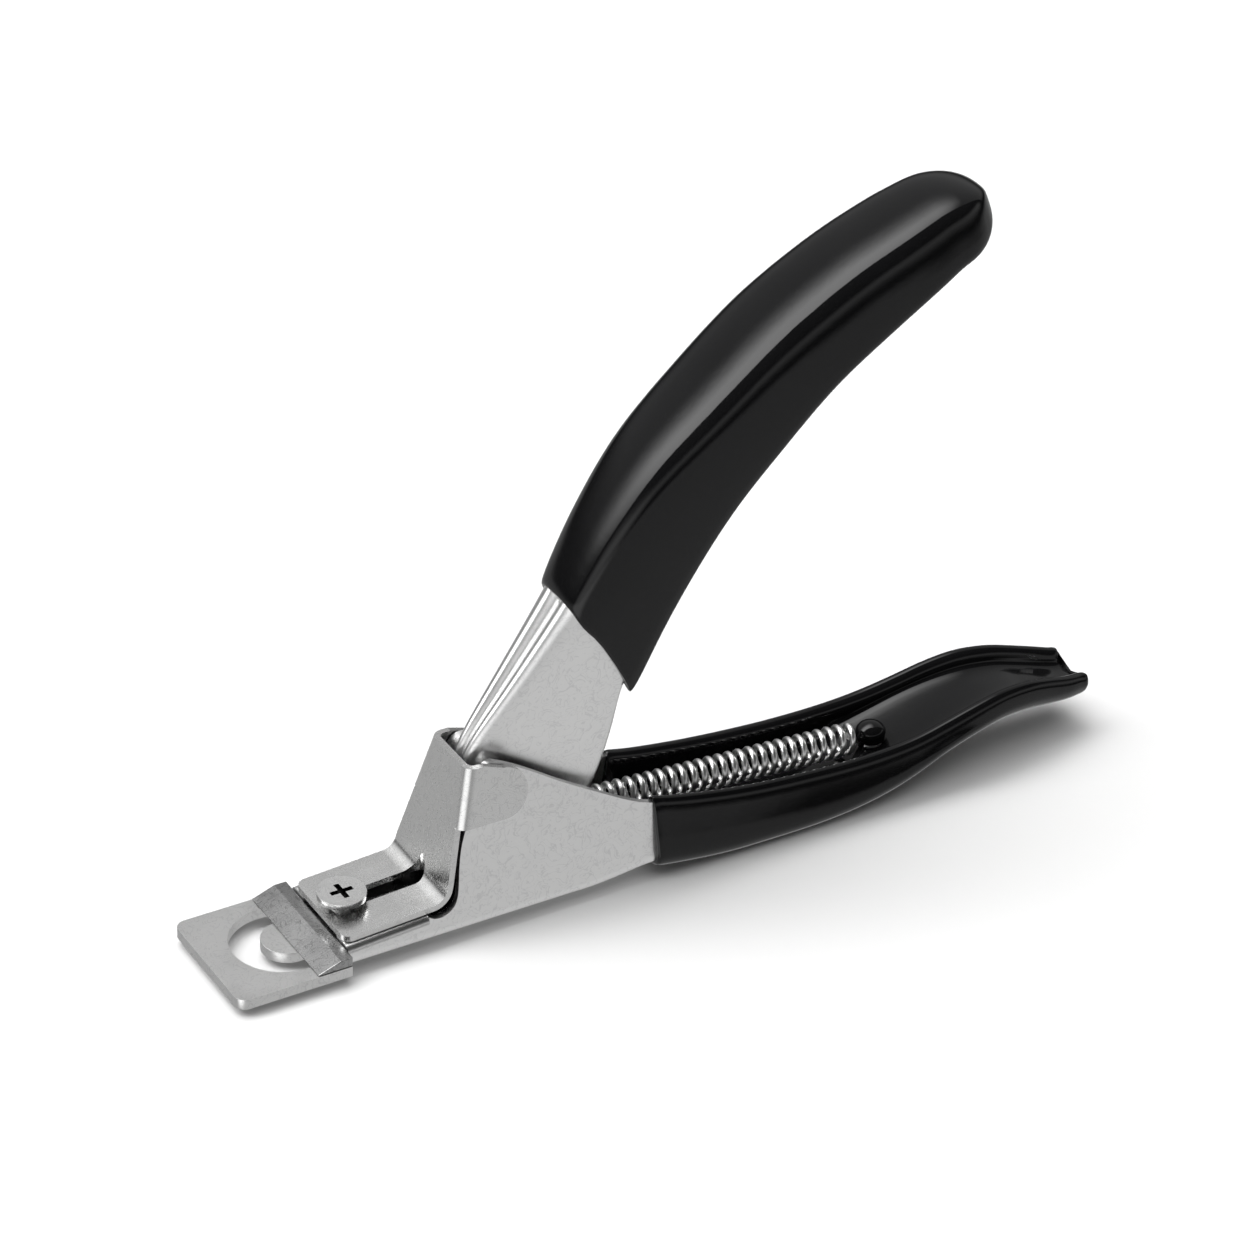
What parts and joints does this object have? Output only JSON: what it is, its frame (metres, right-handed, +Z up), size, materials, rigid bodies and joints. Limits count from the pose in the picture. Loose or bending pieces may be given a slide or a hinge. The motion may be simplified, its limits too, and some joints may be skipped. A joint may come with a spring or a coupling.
{
  "type": "guillotine nail clipper",
  "caption": "Hand-squeezed guillotine nail clipper: a ring plate with a round opening, a sliding bevelled blade, a coil return spring and two coated handles.",
  "frame": {"origin": "middle of the flat belly under the lower grip, on the surface the tool rests on", "axes": "+X from the nose toward the handle ends, +Z up, Y across the tool, which is symmetric about Y = 0"},
  "size_m": [0.1405, 0.02, 0.0933],
  "materials": {
    "lower_handle": "brushed stainless steel",
    "lower_grip": "dip-moulded gloss vinyl",
    "ring_plate": "brushed stainless steel",
    "ring_plate_rivets": "brushed stainless steel",
    "guide_screw": "brushed stainless steel",
    "guide_bush": "brushed stainless steel",
    "pivot_pin": "brushed stainless steel",
    "spring_anchor": "vinyl-coated steel post",
    "return_spring": "bright spring wire",
    "upper_handle": "brushed stainless steel",
    "upper_grip": "dip-moulded gloss vinyl",
    "drive_pin": "brushed stainless steel",
    "slide_cover": "brushed stainless steel",
    "slide_bar": "brushed stainless steel",
    "blade": "ground tool steel",
    "blade_rivets": "brushed stainless steel",
    "spring_pin": "brushed stainless steel"
  },
  "bodies": {
    "lower": {"lower_handle": "lower_handle", "lower_grip": "lower_grip", "ring_plate": "ring_plate", "ring_plate_rivets": "ring_plate_rivets", "guide_screw": "guide_screw", "guide_bush": "guide_bush", "pivot_pin": "pivot_pin", "spring_anchor": "spring_anchor", "return_spring": "return_spring"},
    "upper": {"upper_handle": "upper_handle", "upper_grip": "upper_grip", "drive_pin": "drive_pin"},
    "slide": {"slide_cover": "slide_cover", "slide_bar": "slide_bar", "blade": "blade", "blade_rivets": "blade_rivets", "spring_pin": "spring_pin"}
  },
  "joints": [
    {"name": "handle_pivot", "type": "hinge", "parent": "lower", "child": "upper", "pos_m": [-0.045, 0, 0.0213], "axis": [0, 1, 0], "range_deg": [0, 37.7], "stiffness_Nm_per_rad": 0.2, "springref_deg": -20.05},
    {"name": "cover_slide", "type": "slide", "parent": "lower", "child": "slide", "axis": [-1, 0, 0], "range_m": [0, 0.0084], "deforming": ["return_spring"]}
  ],
  "couplings": [
    {"joint": "cover_slide", "follows": "handle_pivot", "m_per_rad": 0.012766}
  ]
}
